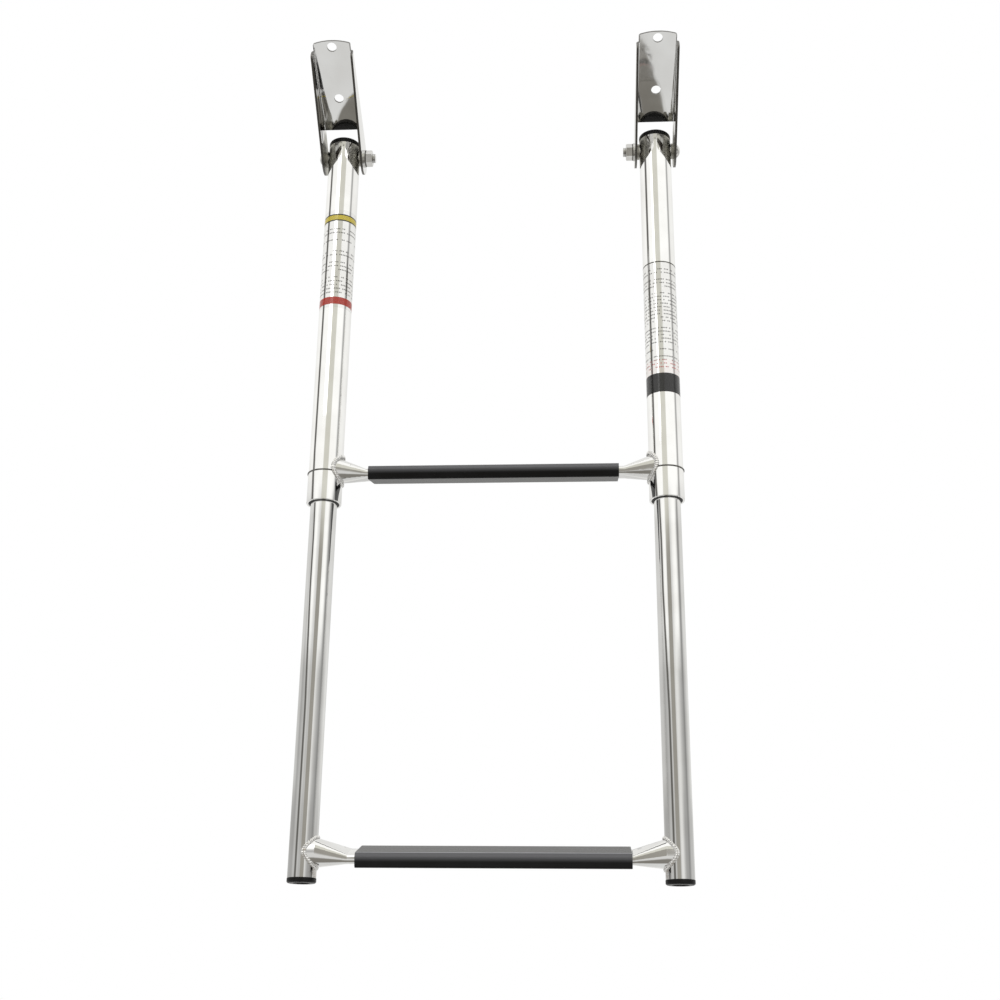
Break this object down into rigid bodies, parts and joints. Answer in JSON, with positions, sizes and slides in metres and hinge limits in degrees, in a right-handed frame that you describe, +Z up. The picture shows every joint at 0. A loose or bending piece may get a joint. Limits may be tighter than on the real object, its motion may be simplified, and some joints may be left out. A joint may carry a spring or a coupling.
{
  "type": "telescopic swim ladder",
  "caption": "Telescopic swim ladder: tube rails and flat rungs hang from channel brackets, and the lower rung slides up inside.",
  "frame": {"origin": "middle of the left bracket's flat back plate, on the face that lies against the platform", "axes": "+X to the right along the rungs, +Z up along the hanging rails, -Y towards the front, where the brackets lean"},
  "size_m": [0.3338, 0.1175, 0.7135],
  "materials": {
    "polished_tube": "mirror-polished stainless steel tube",
    "polished_sheet": "polished stainless steel sheet, folded",
    "fastener_steel": "stainless steel, turned and bright",
    "black_nylon": "black nylon, satin",
    "black_plastic": "moulded black plastic, satin",
    "black_grip": "extruded black plastic grip, soft satin"
  },
  "bodies": {
    "brackets": {"left_mounting_bracket": "polished_sheet", "right_mounting_bracket": "polished_sheet", "left_hinge_bolt": "fastener_steel", "right_hinge_bolt": "fastener_steel", "left_nut_washer": "fastener_steel", "right_nut_washer": "fastener_steel", "left_hinge_nut": "fastener_steel", "right_hinge_nut": "fastener_steel", "left_outer_spacer": "fastener_steel", "right_outer_spacer": "fastener_steel", "left_inner_spacer": "fastener_steel", "right_inner_spacer": "fastener_steel"},
    "upper_frame": {"left_outer_tube": "polished_tube", "right_outer_tube": "polished_tube", "left_top_plug": "black_plastic", "right_top_plug": "black_plastic", "left_collar": "polished_tube", "right_collar": "polished_tube", "left_guide_bushing": "black_nylon", "right_guide_bushing": "black_nylon", "upper_rung": "polished_tube", "upper_grip": "black_grip"},
    "lower_frame": {"left_inner_tube": "polished_tube", "right_inner_tube": "polished_tube", "left_slide_bushing": "black_nylon", "right_slide_bushing": "black_nylon", "left_foot_cap": "black_plastic", "right_foot_cap": "black_plastic", "lower_rung": "polished_tube", "lower_grip": "black_grip"}
  },
  "joints": [
    {"name": "swing", "type": "hinge", "parent": "brackets", "child": "upper_frame", "pos_m": [0.144, 0.05189, -0.04313], "axis": [1, 0, 0], "range_deg": [-110, 156]},
    {"name": "telescope", "type": "slide", "parent": "upper_frame", "child": "lower_frame", "axis": [0, 0, 1], "range_m": [0, 0.267]}
  ]
}
